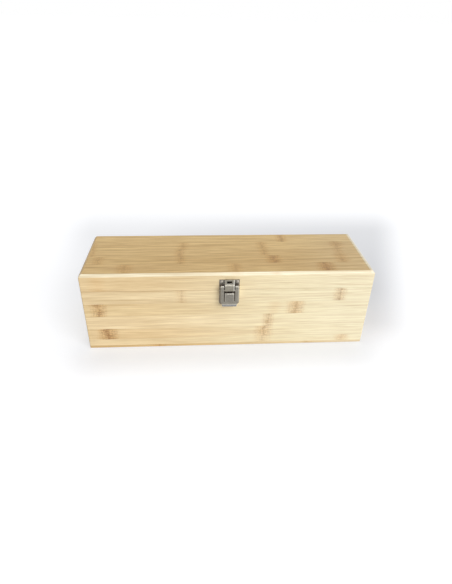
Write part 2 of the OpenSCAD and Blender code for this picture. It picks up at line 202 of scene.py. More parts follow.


# How strongly the sweep glows at each place; the lower glow round the box is a painted shadow.
# `away` is the distance past the patch's edge, as a share of the fade on that side.
def glowWithPaintedShadow(tree, s):
    spot = add(tree, "TexCoord").outputs["Object"]
    axes = add(tree, "SeparateXYZ", {0: spot})
    front, rear = s["patchLength"]
    back = add(tree, "Math", {0: axes.outputs["Y"], 1: front}, operation="SUBTRACT")
    turned = add(tree, "Math", {0: back, 1: -s["patchTurn"], 2: axes.outputs["X"]},
                 operation="MULTIPLY_ADD")
    off = add(tree, "Math", {0: turned}, operation="ABSOLUTE")
    half, gain = s["patchWidth"]
    side = add(tree, "Math", {0: back, 1: -gain, 2: off}, operation="MULTIPLY_ADD")
    beyond = add(tree, "CombineXYZ", {0: side, 1: back, 2: back})
    beyond = add(tree, "VectorMath", {0: beyond, 1: (half, 0, rear - front)}, operation="SUBTRACT")
    beyond = add(tree, "VectorMath", {0: beyond, 1: (1, -1, 1)}, operation="MULTIPLY")
    beyond = add(tree, "VectorMath", {0: beyond, 1: s["patchFade"]}, operation="DIVIDE")
    beyond = add(tree, "VectorMath", {0: beyond, 1: (0, 0, 0)}, operation="MAXIMUM")
    away = add(tree, "VectorMath", {0: beyond}, operation="LENGTH").outputs["Value"]

    low, high = s["backReach"]
    most = add(tree, "MapRange", {"Value": axes.outputs["Y"], "From Min": low, "From Max": high,
               "To Min": s["leftGlow"], "To Max": s["backGlow"]})
    spread = add(tree, "VectorMath", {0: spot, 1: s["darkSpot"]}, operation="DISTANCE").outputs["Value"]
    near = add(tree, "MapRange", {"Value": spread, "From Max": s["darkReach"],
               "To Min": s["darkGlow"], "To Max": most})
    low, high = s["frontReach"]
    ahead = add(tree, "MapRange", {"Value": axes.outputs["Y"], "From Min": low, "From Max": high,
                "To Min": 1.0, "To Max": 0.0}, interpolation_type="SMOOTHSTEP")
    low, high = s["frontHalf"]
    before = add(tree, "MapRange", {"Value": off, "From Min": low, "From Max": high,
                 "To Min": s["frontGlow"][0], "To Max": s["frontGlow"][1]},
                 interpolation_type="SMOOTHSTEP")
    near = add(tree, "Mix", {"Factor": ahead, "A": near, "B": before}, data_type="FLOAT")
    return add(tree, "MapRange", {"Value": away, "To Min": near, "To Max": s["farGlow"]},
               interpolation_type="SMOOTHSTEP")


# Matt paper with no sheen. It shows the box's soft shadow, and a painted shadow where its glow is
# lowered round the box
def sweepMaterial(s):
    material, tree = newMaterial("Matt white paper sweep")
    matt = add(tree, "BsdfDiffuse", {"Color": colour(s["floorColour"])})
    seen = seenBy(tree, "Camera", "Glossy")
    strength = add(tree, "Math", {0: seen, 1: glowWithPaintedShadow(tree, s)}, operation="MULTIPLY")
    glow = add(tree, "Emission", {"Color": (1, 1, 1, 1), "Strength": strength})
    both = add(tree, "AddShader", {0: matt, 1: glow})
    add(tree, "OutputMaterial", {"Surface": both})
    return material


def makeSweep(s):
    half = s["floorSize"] / 2
    mesh = bpy.data.meshes.new("sweep")
    mesh.from_pydata([(-half, -half, 0), (half, -half, 0), (half, half, 0), (-half, half, 0)], [],
                     [(0, 1, 2, 3)])
    mesh.materials.append(sweepMaterial(s))
    sweep = bpy.data.objects.new("sweep", mesh)
    bpy.context.scene.collection.objects.link(sweep)


makeLights(studio)
makeSweep(studio)
bpy.context.scene.view_settings.view_transform = "Standard"
print("studio lit")


# Laminated bamboo, satin lacquered: slices of culm are pressed side by side in strips about 18 mm
# wide. The eye gets long straight fibre streaks, a change of tone at each glue line, and now and
# then a node, the brown wavy scar where the culm had a joint. Lengths are in mm. A grain is (length,
# width, detail), and its range is where the noise takes it from none to full.
bamboo = {
    "apart": (3100, 1700, 900),     # moves each strip to another place in the pattern, by its tone
    "cloud": (110.0, 7.0, 2.0), "cloudDepth": 0.13,
    "streak": (100.0, 1.1, 3.0), "streakRange": (0.46, 0.78), "streakDepth": 0.44,
    "streakColour": "#b98a4c",
    "fibre": (32.0, 0.5, 2.0), "fibreDepth": 0.33,
    "warmth": (0.78, 1.0, 1.35),    # shares of a fibre's shade taken by red, green and blue
    "joint": 0.35, "jointDark": 0.05,       # half width of a glue line; the real one is finer
    "waver": 1.9, "waverSize": 5.0,         # how far a node strays along the strip, and how often
    "bend": 10.0,                   # how far fibres bend at a node, for a full stain
    "stainColour": "#d99a40", "stainDepth": 0.6,
    "scarColour": "#7d4818", "scarHalf": 1.3,
    "markFade": (0.95, 0.6),        # what is left of a mark beside its scar, and half way out
    "wrinkle": 3.1, "wrinkleRange": (0.2, 0.9), "wrinkleDepth": 0.75,       # lines beside a scar
    "fleck": (1.6, 1.0, 1.0), "fleckRange": (0.38, 0.56), "fleckDepth": (0.15, 0.9),
    "feather": (8.0, 0.8, 1.0), "featherRange": (0.58, 0.76), "featherDepth": 0.8,
    "featherPull": 0.25,            # how much more of the feathers shows next to the scar
    "roughness": 0.42, "glossSpread": (-0.06, 0.08), "ior": 1.5,
    "relief": 0.02,
}


# The marks of every strip's nodes: red is the scar, green the stain and blue the brown fibres. Each
# strip has a ramp, which peaks at each scar and ends at the node's reach.
def nodeMarks(tree, board, strayed, across, b):
    start, end = board["span"]
    beside, halfway = b["markFade"]
    marks = None
    for number, (edge, tone, scars) in enumerate(board["strips"]):
        stops = [(0.0, (0, 0, 0, 1))]
        for x, reach, scar, stain in sorted(scars):
            for step, cut, left in ((-reach, 0, 0), (-reach / 2, 0, halfway),
                                    (-b["scarHalf"], 0, beside), (0, 1, 1), (b["scarHalf"], 0, beside),
                                    (reach / 2, 0, halfway), (reach, 0, 0)):
                spot = (x + step - start) / (end - start)
                spot = min(max(spot, 0.001), 0.999)     # inside the two end stops
                stops.append((spot, (cut * scar, left * stain, left * scar, 1)))
        ramp = add(tree, "ValToRGB", {0: strayed}, stops + [(1.0, (0, 0, 0, 1))])
        if marks is None:
            marks = ramp.outputs[0]
        else:
            past = add(tree, "Math", {0: across, 1: board["strips"][number - 1][0]},
                       operation="GREATER_THAN")
            marks = add(tree, "Mix", {"Factor": past, "A": marks, "B": ramp.outputs[0]},
                        data_type="RGBA")
    return add(tree, "SeparateColor", {0: marks}).outputs


# The distance across the strips to the nearest glue line
def toGlueLine(tree, across, edges):
    nearest = 1000.0        # mm, further than any
    for edge in edges:
        gap = add(tree, "Math", {0: across, 1: edge}, operation="SUBTRACT")
        gap = add(tree, "Math", {0: gap}, operation="ABSOLUTE")
        nearest = add(tree, "Math", {0: gap, 1: nearest}, operation="MINIMUM")
    return nearest


# Strips are listed from the low side, as (upper edge in mm, tone, nodes); a node is (place along
# the strip, its reach, strength of the scar, strength of the stain). Near a node the fibres bend,
# stained fibres reach out along the strip, and the scar itself is a thin broken line across it.
# Stretches of painted light are (start, place of full strength, tone, strength), and last to the
# strips' end: a paler tone, painted towards the light.
def bambooMaterial(name, board, b=bamboo):
    material, tree = newMaterial(name)
    axes = add(tree, "SeparateXYZ", {0: placeInMm(tree)})
    along, across = axes.outputs[board["along"]], axes.outputs[board["across"]]
    deep = axes.outputs[({"X", "Y", "Z"} - {board["along"], board["across"]}).pop()]
    start, end = board["span"]
    low, high = board["low"], board["strips"][-1][0]
    edges = [strip[0] for strip in board["strips"][:-1]]

    place = add(tree, "MapRange", {"Value": across, "From Min": low, "From Max": high})
    stops = [((edge - low) / (high - low), colour(strip[1]))
             for edge, strip in zip([low] + edges, board["strips"])]
    tone = add(tree, "ValToRGB", {0: place}, stops)
    tone.color_ramp.interpolation = "CONSTANT"
    apart = add(tree, "VectorMath", {0: tone.outputs[0], 1: b["apart"]}, operation="MULTIPLY")

    # The scars waver, so the place along the strip is stirred before the strips' ramps read it.
    # The noise strays from its middle by about a quarter, so four times the waver is taken.
    flat = add(tree, "VectorMath", {0: add(tree, "CombineXYZ", {0: along, 1: across}), 1: apart},
               operation="ADD")
    stir = add(tree, "TexNoise", {"Vector": flat, "Scale": 1 / b["waverSize"], "Detail": 3.0,
               "Roughness": 0.6})
    stir = add(tree, "Math", {0: stir, 1: 0.5}, operation="SUBTRACT")
    strayed = add(tree, "Math", {0: stir, 1: 4 * b["waver"], 2: along}, operation="MULTIPLY_ADD")
    wave = add(tree, "Math", {0: strayed, 1: 2 * math.pi / b["wrinkle"]}, operation="MULTIPLY")
    wave = add(tree, "Math", {0: wave}, operation="SINE")
    wrinkles = add(tree, "MapRange", {"Value": wave, "From Min": b["wrinkleRange"][0],
                   "From Max": b["wrinkleRange"][1], "To Max": b["wrinkleDepth"]})
    strayed = add(tree, "MapRange", {"Value": strayed, "From Min": start, "From Max": end})
    scar, stain, brown = nodeMarks(tree, board, strayed, across, b)

    bent = add(tree, "Math", {0: stir, 1: stain}, operation="MULTIPLY")
    bent = add(tree, "Math", {0: bent, 1: b["bend"], 2: across}, operation="MULTIPLY_ADD")
    spot = add(tree, "VectorMath", {0: add(tree, "CombineXYZ", {0: along, 1: bent, 2: deep}), 1: apart},
               operation="ADD")

    def grain(length, width, detail):
        scaled = add(tree, "VectorMath", {0: spot, 1: (1 / length, 1 / width, 1 / width)},
                     operation="MULTIPLY")
        return add(tree, "TexNoise", {"Vector": scaled, "Scale": 1.0, "Detail": detail,
                   "Roughness": 0.6})

    # The darker, the warmer
    def shaded(tint, noise, amount):
        shade = add(tree, "MapRange", {"Value": noise, **noiseRange, "To Min": -amount,
                    "To Max": amount})
        shade = add(tree, "VectorMath", {0: shade, 1: b["warmth"], 2: (1, 1, 1)},
                    operation="MULTIPLY_ADD")
        return add(tree, "VectorMath", {0: tint, 1: shade}, operation="MULTIPLY")

    cloud, streak, fibre, feather, fleck = (
        grain(*b[kind]) for kind in ("cloud", "streak", "fibre", "feather", "fleck"))
    tint = shaded(tone.outputs[0], cloud, b["cloudDepth"])
    layers = []
    # Painted light: paler stretches towards the light
    for begin, full, lightTone, amount in board.get("paintedLight", []):
        fade = add(tree, "MapRange", {"Value": along, "From Min": begin, "From Max": full,
                   "To Max": amount}, interpolation_type="SMOOTHSTEP")
        layers.append((fade, lightTone))
    contrast = board.get("contrast", 1.0)
    threads = add(tree, "MapRange", {"Value": streak, "From Min": b["streakRange"][0],
                  "From Max": b["streakRange"][1], "To Max": b["streakDepth"] * contrast})
    tint = layered(tree, tint, layers + [(threads, b["streakColour"])])
    tint = shaded(tint, fibre, b["fibreDepth"] * contrast / 2)

    stain = add(tree, "Math", {0: stain, 1: b["stainDepth"]}, operation="MULTIPLY")
    strokes = add(tree, "Math", {0: brown, 1: b["featherPull"], 2: feather}, operation="MULTIPLY_ADD")
    strokes = add(tree, "MapRange", {"Value": strokes, "From Min": b["featherRange"][0],
                  "From Max": b["featherRange"][1]})
    brown = add(tree, "Math", {0: brown, 1: b["featherDepth"]}, operation="MULTIPLY")
    strokes = add(tree, "Math", {0: brown, 1: strokes}, operation="MULTIPLY")
    wrinkles = add(tree, "Math", {0: wrinkles, 1: brown}, operation="MULTIPLY")
    scar = add(tree, "Math", {0: scar, 1: wrinkles}, operation="MAXIMUM")
    broken = add(tree, "MapRange", {"Value": fleck, "From Min": b["fleckRange"][0],
                 "From Max": b["fleckRange"][1], "To Min": b["fleckDepth"][0],
                 "To Max": b["fleckDepth"][1]})
    scar = add(tree, "Math", {0: scar, 1: broken}, operation="MULTIPLY")
    tint = layered(tree, tint, [(stain, b["stainColour"]), (strokes, b["scarColour"]),
                                (scar, b["scarColour"])])

    line = add(tree, "MapRange", {"Value": toGlueLine(tree, across, edges), "From Max": 2 * b["joint"],
               "To Min": 1 - b["jointDark"] * contrast, "To Max": 1.0})
    tint = add(tree, "VectorMath", {0: tint, 1: line}, operation="MULTIPLY")

    height = add(tree, "Math", {0: streak, 1: fibre}, operation="ADD")
    bump = add(tree, "Bump", {"Height": height, "Distance": b["relief"] * mm})
    gloss = add(tree, "MapRange", {"Value": streak, "To Min": b["roughness"] + b["glossSpread"][0],
                "To Max": b["roughness"] + b["glossSpread"][1]})
    lacquer = add(tree, "BsdfPrincipled", {"Base Color": tint, "Roughness": gloss, "Normal": bump,
                  "IOR": b["ior"]})
    add(tree, "OutputMaterial", {"Surface": lacquer})
    return material


# Bamboo's end grain under lacquer: cut fibre bundles, brown dots about a millimetre apart in paler
# pith, so an end reads darker and speckled where a face reads streaked. Lengths are in mm.
endGrain = {
    "bundle": 0.95, "scatter": 0.8,
    "dotRange": (0.15, 0.55), "dotDepth": 0.85,     # from a bundle's middle to its edge
    "drift": 6.0,           # over which the dots grow fainter or stronger
    "pith": "#d9b57c", "fibre": "#9c7040",
    "roughness": 0.5, "ior": 1.5,
}


def endGrainMaterial(name, e=endGrain):
    material, tree = newMaterial(name)
    place = placeInMm(tree)
    cells = add(tree, "TexVoronoi", {"Vector": place, "Scale": 1 / e["bundle"],
                "Randomness": e["scatter"]})
    drift = add(tree, "TexNoise", {"Vector": place, "Scale": 1 / e["drift"], "Detail": 2.0})
    dots = add(tree, "MapRange", {"Value": cells.outputs["Distance"], "From Min": e["dotRange"][0],
               "From Max": e["dotRange"][1], "To Min": e["dotDepth"], "To Max": 0.0})
    dots = add(tree, "Math", {0: dots, 1: drift}, operation="MULTIPLY")
    tint = layered(tree, colour(e["pith"]), [(dots, e["fibre"])])
    lacquer = add(tree, "BsdfPrincipled", {"Base Color": tint, "Roughness": e["roughness"],
                  "IOR": e["ior"]})
    add(tree, "OutputMaterial", {"Surface": lacquer})
    return material


frontBoard = {
    "along": "X", "across": "Z", "low": 0.0, "span": (-boxHalfX, boxHalfX),
    # Painted light: the front grows paler towards the right end, a painted sheen from the light
    "paintedLight": [(-125, 110, "#fff6d2", 0.70), (60, 160, "#fffbe4", 0.18)],
    "strips": [
        (13.5, "#f0d7a8", [(44.0, 14, 0.25, 0.35), (148.0, 12, 0.3, 0.5)]),
        (29.5, "#e9cc9a", [(-150.0, 15, 0.8, 0.6), (45.0, 14, 0.5, 0.5)]),
        (48.2, "#f4dbad", [(50.0, 9, 0.5, 0.4)]),
        (66.3, "#ebd09e", [(-157.0, 12, 0.75, 0.45), (56.0, 10, 0.0, 0.2), (83.0, 13, 0.5, 0.6)]),
        (seamZ, "#eed5a7", [(-57.5, 8, 0.25, 0.2), (136.5, 10, 0.5, 0.4)]),
        (topZ, "#ecd09f", [(-155.0, 12, 0.0, 0.25)]),
    ],
}
topBoard = {
    "along": "X", "across": "Y", "low": -boxHalfY, "span": (-boxHalfX, boxHalfX), "contrast": 1.8,
    # Painted light: the top grows paler towards the right end as a painted sheen, and a painted
    # highlight runs along its right edge
    "paintedLight": [(60, 160, "#e6d4aa", 0.30), (169.0, 169.8, "#fff5da", 1.0)],
    "strips": [
        (-29.5, "#e8c484", [(-124.0, 13, 0.35, 0.45), (7.5, 11, 0.4, 0.4), (118.5, 14, 0.75, 0.7)]),
        (-9.5, "#e5c180", [(-157.0, 10, 0.4, 0.4), (-58.0, 8, 0.45, 0.4), (57.0, 12, 0.7, 0.7),
                           (143.0, 12, 0.45, 0.5)]),
        (9.0, "#edca89", [(-168.0, 6, 0.3, 0.3), (-59.5, 9, 0.45, 0.4), (47.5, 8, 0.4, 0.4),
                          (144.0, 9, 0.4, 0.35)]),
        (29.0, "#efcc8a", [(-170.0, 6, 0.3, 0.3), (-55.5, 9, 0.4, 0.4), (46.5, 10, 0.4, 0.4),
                           (146.5, 12, 0.5, 0.4)]),
        (boxHalfY, "#f0cd8b", [(76.0, 9, 0.55, 0.55)]),
    ],
}
# The bevel's tone holds painted light: paler along the front and at the right end, a painted
# highlight where it faces the light, and darker along the back and the left end, painted shade
bevelBoard = dict(topBoard, contrast=1.0, paintedLight=[(169.8, 170.6, "#fff6dc", 0.9)])
bevelBoard["strips"] = [
    (bevelWide - boxHalfY, "#fff3d2", [(7.5, 11, 0.0, 0.2), (56.0, 9, 0.0, 0.3)]),
] + [(strip[0], "#dcb877", []) for strip in topBoard["strips"]]
backBoard = {
    "along": "X", "across": "Z", "low": 0.0, "span": (-boxHalfX, boxHalfX),
    "strips": [
        (13.5, "#ecd4a5", [(-96.0, 11, 0.4, 0.4), (118.0, 12, 0.3, 0.5)]),
        (29.5, "#e9ce9c", [(31.0, 14, 0.4, 0.6)]),
        (48.2, "#f0d8ab", [(-139.0, 12, 0.4, 0.5), (92.0, 9, 0.3, 0.3)]),
        (66.3, "#ebd1a0", [(-38.0, 14, 0.5, 0.6)]),
        (seamZ, "#eed5a8", [(151.0, 11, 0.4, 0.4), (-61.0, 9, 0.3, 0.2)]),
        (topZ, "#ebd2a2", [(12.0, 11, 0.4, 0.4)]),
    ],
}
endBoard = {
    "along": "Y", "across": "Z", "low": 0.0, "span": (-boxHalfY, boxHalfY),
    "strips": [
        (13.5, "#ead0a0", []),
        (29.5, "#e6c996", [(-21.0, 12, 0.4, 0.5)]),
        (48.2, "#edd4a6", []),
        (66.3, "#e8cc9b", [(33.0, 10, 0.3, 0.4)]),
        (seamZ, "#ebd1a2", []),
        (topZ, "#e7cb9a", [(8.0, 11, 0.4, 0.4)]),
    ],
}
bottomBoard = {
    "along": "X", "across": "Y", "low": -boxHalfY, "span": (-boxHalfX, boxHalfX),
    # Painted light: the bottom board grows paler towards the right end, as the front does
    "paintedLight": [(-60, 60, "#f4e0b6", 0.45), (60, 160, "#fbeecb", 0.5)],
    "strips": [
        (-37.0, "#e0bf88", [(-88.0, 12, 0.4, 0.5), (103.0, 10, 0.3, 0.3)]),
        (-18.5, "#e5c590", [(22.0, 12, 0.4, 0.5)]),
        (0.0, "#debc85", [(-140.0, 10, 0.4, 0.4), (133.0, 14, 0.4, 0.6)]),
        (18.5, "#e6c792", [(-31.0, 10, 0.4, 0.4)]),
        (37.0, "#dfbe87", [(71.0, 13, 0.4, 0.6)]),
        (boxHalfY, "#e3c38d", [(-112.0, 11, 0.4, 0.4)]),
    ],
}
bambooFront = bambooMaterial("Lacquered laminated bamboo, front", frontBoard)
bambooBack = bambooMaterial("Lacquered laminated bamboo, back", backBoard)
bambooEnd = bambooMaterial("Lacquered laminated bamboo, ends", endBoard)
bambooTop = bambooMaterial("Lacquered laminated bamboo, top", topBoard)
bambooBevel = bambooMaterial("Lacquered laminated bamboo, planed bevel", bevelBoard)
bambooBottom = bambooMaterial("Lacquered laminated bamboo, bottom", bottomBoard)
bambooEndGrain = endGrainMaterial("Lacquered bamboo end grain")
print("bamboo mixed")


# A circle's arc as points about a centre, from one angle to another in degrees
def arc(centreX, centreY, radius, fromAngle, toAngle, steps=8):
    turn = np.radians(np.linspace(fromAngle, toAngle, steps + 1))
    return np.stack([centreX + radius * np.cos(turn), centreY + radius * np.sin(turn)], 1)


# Rounds a profile's inner corners: each becomes a quadratic curve, (1-t) squared times a, plus
# 2t(1-t) times the corner, plus t squared times b, where a and b lie `ease` away from the corner
# along its two sides
def softened(profile, eases, steps=4):
    points = np.array(profile, float)
    t = np.linspace(0, 1, steps + 1)[:, None]
    parts = [points[:1]]
    for before, corner, after, ease in zip(points[:-2], points[1:-1], points[2:], eases):
        a = corner + (before - corner) / np.linalg.norm(before - corner) * ease
        b = corner + (after - corner) / np.linalg.norm(after - corner) * ease
        parts.append((1 - t) ** 2 * a + 2 * t * (1 - t) * corner + t ** 2 * b)
    return np.concatenate(parts + [points[-1:]])


# The outline's points moved inwards along their mitred normals by each inset, at each height
def liftOutline(outline, profile):
    sides = np.roll(outline, -1, 0) - outline
    normals = np.stack([-sides[:, 1], sides[:, 0]], 1) / np.linalg.norm(sides, axis=1)[:, None]
    before = np.roll(normals, 1, 0)
    mitres = (normals + before) / (1 + (normals * before).sum(1))[:, None]
    rings = np.empty((len(profile), len(outline), 3))
    rings[:, :, :2] = outline[None] + profile[:, :1, None] * mitres[None]
    rings[:, :, 2] = profile[:, 1:]
    return rings


# Rounded rectangles, one for each (inset, height): a quarter circle at each corner, whose radius
# shrinks by the inset and whose centre lies that radius in from both sides
def liftCover(halfX, halfY, r, profile, least=0.2, steps=8):
    turn = np.radians(np.linspace(0, 90, steps + 1))
    radius = np.maximum(r - profile[:, :1], least)
    rings = np.empty((len(profile), 4, len(turn), 3))
    for number, (sx, sy) in enumerate(((-1, -1), (1, -1), (1, 1), (-1, 1))):
        angle = turn + math.radians(180 + 90 * number)
        rings[:, number, :, 0] = sx * (halfX - profile[:, :1] - radius) + radius * np.cos(angle)
        rings[:, number, :, 1] = sy * (halfY - profile[:, :1] - radius) + radius * np.sin(angle)
    rings[..., 2] = profile[:, 1, None, None]
    return rings.reshape(len(profile), -1, 3)


# Rings in mm, joined ring to ring by quads and closed by a flat face at each end
def stackRings(name, rings, finishes):
    levels, count = rings.shape[:2]
    index = np.arange(levels * count).reshape(levels, count)
    following = np.roll(index, -1, 1)
    quads = np.stack([index[:-1], following[:-1], following[1:], index[1:]], -1).reshape(-1, 4)
    mesh = bpy.data.meshes.new(name)
    mesh.from_pydata((rings.reshape(-1, 3) * mm).tolist(), [],
                     quads.tolist() + [index[0, ::-1].tolist(), index[-1].tolist()])
    for finish in finishes:
        mesh.materials.append(finish)
    return mesh


def finishPiece(name, mesh, node, body):
    mesh.polygons.foreach_set("use_smooth", np.ones(len(mesh.polygons), bool))
    mesh.update()
    piece = bpy.data.objects.new(name, mesh)
    bpy.context.scene.collection.objects.link(piece)
    weighted = piece.modifiers.new("weighted", "WEIGHTED_NORMAL")
    weighted.keep_sharp = True
    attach(piece, body)
    if node:
        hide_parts(node)
    return piece


boards = {
    "ease": 0.4, "seamEase": 0.2, "gluedEase": 0.04,        # mm, softening of free and glued edges
    "cornerRadius": 1.5, "underBevel": 0.8,     # mm
    "rim": 1.0,             # mm, ring between an edge and the flat face
    "crossCut": 0.75,       # a side is end grain where more than this share of it crosses the grain
}


# A board is a stack of rings. Its finishes are for its sides, its faces cut across the grain and,
# where it has a bevel, for what lies above `bevelAbove`, its flat faces and its back.
def makeBoard(name, rings, finishes, grainAxis, node, body, bevelAbove=None):
    sideFinish, cutFinish, bevelFinish, flatFinish, backFinish = range(5)
    middle = rings[len(rings) // 2]
    sides = np.roll(middle, -1, 0) - middle
    crossCut = np.abs(sides[:, 1 - grainAxis]) > boards["crossCut"] * np.linalg.norm(sides, axis=1)
    chosen = np.tile(np.where(crossCut, cutFinish, sideFinish), (len(rings) - 1, 1))
    flat = sideFinish
    if bevelAbove is not None:
        chosen[:, ~crossCut & (sides[:, 0] < 0)] = backFinish
        chosen[rings[:-1, 0, 2] > bevelAbove] = bevelFinish
        flat = flatFinish
    mesh = stackRings(name, rings, finishes)
    mesh.polygons.foreach_set("material_index", np.append(chosen, [flat, flat]).astype(np.int32))
    finishPiece(name, mesh, node, body)


# Outline of the front wall: its ends are rebated, so that they lap over the end walls
def wallOutline(halfX, halfY, wall, lap, r):
    rebate = [(halfX, lap - halfY), (halfX - wall, lap - halfY), (halfX - wall, wall - halfY),
              (wall - halfX, wall - halfY), (wall - halfX, lap - halfY), (-halfX, lap - halfY)]
    return np.concatenate([arc(r - halfX, r - halfY, r, 180, 270),
                           arc(halfX - r, r - halfY, r, 270, 360), rebate])


# The profile of each board runs up its side, as (inset, height) in mm
def makeBoards(b):
    lowEnd, highEnd = (np.array(corner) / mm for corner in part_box("right_end_panel"))
    wall, lap, r, rim = highEnd[0] - lowEnd[0], boxHalfY - highEnd[1], b["cornerRadius"], b["rim"]
    front = wallOutline(boxHalfX, boxHalfY, wall, lap, r)
    back = front[::-1] * [1, -1]
    end = np.array([(lowEnd[0], lowEnd[1]), (highEnd[0], lowEnd[1]), (highEnd[0], highEnd[1]),
                    (lowEnd[0], highEnd[1])])
    walls = [
        ("frontBoard", front, bambooFront, 0, "front_panel", "box", "bamboo_wall"),
        ("backBoard", back, bambooBack, 0, "back_panel", "box", "bamboo_wall"),
        ("rightEndBoard", end, bambooEnd, 1, "right_end_panel", "box", "bamboo_end"),
        ("leftEndBoard", end[::-1] * [-1, 1], bambooEnd, 1, "left_end_panel", "box", "bamboo_end"),
        ("lidFrontBoard", front, bambooFront, 0, "lid_front_rail", "lid", "bamboo_wall"),
        ("lidBackBoard", back, bambooBack, 0, "lid_back_rail", "lid", "bamboo_wall"),
        ("lidRightBoard", end, bambooEnd, 1, "lid_right_rail", "lid", "bamboo_end"),
        ("lidLeftBoard", end[::-1] * [-1, 1], bambooEnd, 1, "lid_left_rail", "lid", "bamboo_end"),
    ]
    for name, outline, finish, axis, node, body, slotName in walls:
        z0, z1 = (corner.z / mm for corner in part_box(node))
        eases = (b["seamEase"], b["gluedEase"]) if body == "lid" else (b["gluedEase"], b["seamEase"])
        profile = softened([(rim, z0), (0, z0), (0, z1), (rim, z1)], eases)
        makeBoard(name, liftOutline(outline, profile), [finish, bambooEndGrain], axis, node, body)
    z0, z1 = (corner.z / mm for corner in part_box("lid_top_panel"))
    profile = softened([(rim, z0), (0, z0), (0, z1 - bevelWide), (bevelWide, z1),
                        (bevelWide + rim, z1)], (b["gluedEase"], b["ease"], b["ease"]))
    makeBoard("topBoard", liftCover(boxHalfX, boxHalfY, r, profile),
              [bambooFront, bambooEndGrain, bambooBevel, bambooTop, bambooBack], 0,
              "lid_top_panel", "lid", z1 - bevelWide)
    z0, z1 = (corner.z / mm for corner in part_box("bottom_panel"))
    low = b["underBevel"]
    profile = softened([(low + rim, z0), (low, z0), (0, z0 + low), (0, z1), (rim, z1)],
                       (b["ease"] / 2, b["ease"] / 2, b["gluedEase"]))
    makeBoard("bottomBoard", liftCover(boxHalfX, boxHalfY, r, profile),
              [bambooBottom, bambooEndGrain], 0, "bottom_panel", "box")


makeBoards(boards)
print("ten boards cut")


# Nickel plate over pressed steel, antiqued: the plating is tumbled grey, mottled with brown-black
# oxide, and rubbed paler along every edge, which also serves as a painted highlight there. Parts set
# back behind the lever are darkened as painted shade, and some edges carry painted highlights and
# shade. Lengths are in mm.
nickel = {
    "mottle": 2.2, "mottleRange": (0.35, 0.7),
    "mark": (6.0, 0.6), "markDepth": 0.008,     # tumbling marks; the real ones are finer
    "roughness": 0.36, "glossSpread": (-0.08, 0.1), "oxideRough": 0.3,
}

# What differs from one metal piece to another: its tone, its oxide's and how much oxide mottles it.
# Its painted shade is (axis, where it starts, where it is full, how dark it gets), on parts set back
# behind the lever; each painted highlight or shade along an edge is (axis, start, full, tone).
metalFinishes = {
    "plate": {"tone": "#8a867d", "oxide": "#6b5e55", "mottled": 0.35,
              # Painted shade on the plates below the lever's shoulders, behind the lever
              "recess": ("Z", seamZ + 9.0, seamZ + 7.8, 0.85)},
    "lever": {"tone": "#8f8b81", "oxide": "#4a4037", "mottled": 0.30,
              # Painted shade on the lever's parts set back from its face
              "recess": ("Y", frontY - 5.2, frontY - 3.8, 0.85),
              # Painted highlights on the right outer edge and the shoulders, painted shade on the left
              # outer edge and on the flared lip
              "paintedLightAndShade": [("X", 10.2, 10.6, "#e4e0cf"), ("X", -10.2, -10.6, "#7d7768"),
                       ("Z", seamZ + 7.9, seamZ + 8.3, "#e6e3d8"),
                       ("Y", frontY - 6.4, frontY - 7.4, "#5d5f63")]},
    "tongue": {"tone": "#969184", "oxide": "#4a4037", "mottled": 0.30,
               # Painted shade on the tongue's set-back parts
               "recess": ("Y", frontY - 3.9, frontY - 3.0, 0.85),
               # A painted highlight along the tongue's right edge
               "paintedLightAndShade": [("X", 4.8, 5.1, "#e6e3d8")]},
    # Near-black, for the painted shade in the catch's slot
    "slot": {"tone": "#2b2622", "oxide": "#17130f", "mottled": 0.6},
    "hinge": {"tone": "#a59d90", "oxide": "#3b332b", "mottled": 0.40},
    "screw": {"tone": "#9f988d", "oxide": "#3b332b", "mottled": 0.30},
    # Rubbed edges, made paler also as a painted highlight along them
    "edge": {"tone": "#cdc9be", "oxide": "#8a8378", "mottled": 0.2, "roughness": 0.24},
}


def nickelMaterial(name, finish, n=nickel):
    material, tree = newMaterial(name)
    place = placeInMm(tree)
    axes = add(tree, "SeparateXYZ", {0: place})
    mottle = add(tree, "TexNoise", {"Vector": place, "Scale": 1 / n["mottle"], "Detail": 4.0,
                 "Roughness": 0.65})
    length, width = n["mark"]
    marks = add(tree, "VectorMath", {0: place, 1: (1 / width, 1 / width, 1 / length)},
                operation="MULTIPLY")
    marks = add(tree, "TexNoise", {"Vector": marks, "Scale": 1.0, "Detail": 2.0})
    stain = add(tree, "MapRange", {"Value": mottle, "From Min": n["mottleRange"][0],
                "From Max": n["mottleRange"][1], "To Max": finish["mottled"]})
    # Painted shade: darker towards the parts set back behind the lever
    if "recess" in finish:
        axis, shown, hidden, depth = finish["recess"]
        down = add(tree, "MapRange", {"Value": axes.outputs[axis], "From Min": shown,
                   "From Max": hidden, "To Max": depth}, interpolation_type="SMOOTHSTEP")
        stain = add(tree, "Math", {0: stain, 1: down}, operation="MAXIMUM")
    layers = [(stain, finish["oxide"])]
    # Painted highlights and painted shade along chosen edges
    for axis, start, full, paintedTone in finish.get("paintedLightAndShade", []):
        rubbedAndPaintedLight = add(tree, "MapRange", {"Value": axes.outputs[axis], "From Min": start,
                     "From Max": full})
        layers.append((rubbedAndPaintedLight, paintedTone))
    tint = layered(tree, colour(finish["tone"]), layers)
    roughness = finish.get("roughness", n["roughness"])
    gloss = add(tree, "MapRange", {"Value": marks, **noiseRange,
                "To Min": roughness + n["glossSpread"][0],
                "To Max": roughness + n["glossSpread"][1]})
    gloss = add(tree, "Math", {0: stain, 1: n["oxideRough"], 2: gloss}, operation="MULTIPLY_ADD",
                use_clamp=True)
    bump = add(tree, "Bump", {"Height": marks, "Distance": n["markDepth"] * mm})
    metal = add(tree, "BsdfPrincipled", {"Base Color": tint, "Metallic": 1.0, "Roughness": gloss,
                "Normal": bump})
    add(tree, "OutputMaterial", {"Surface": metal})
    return material


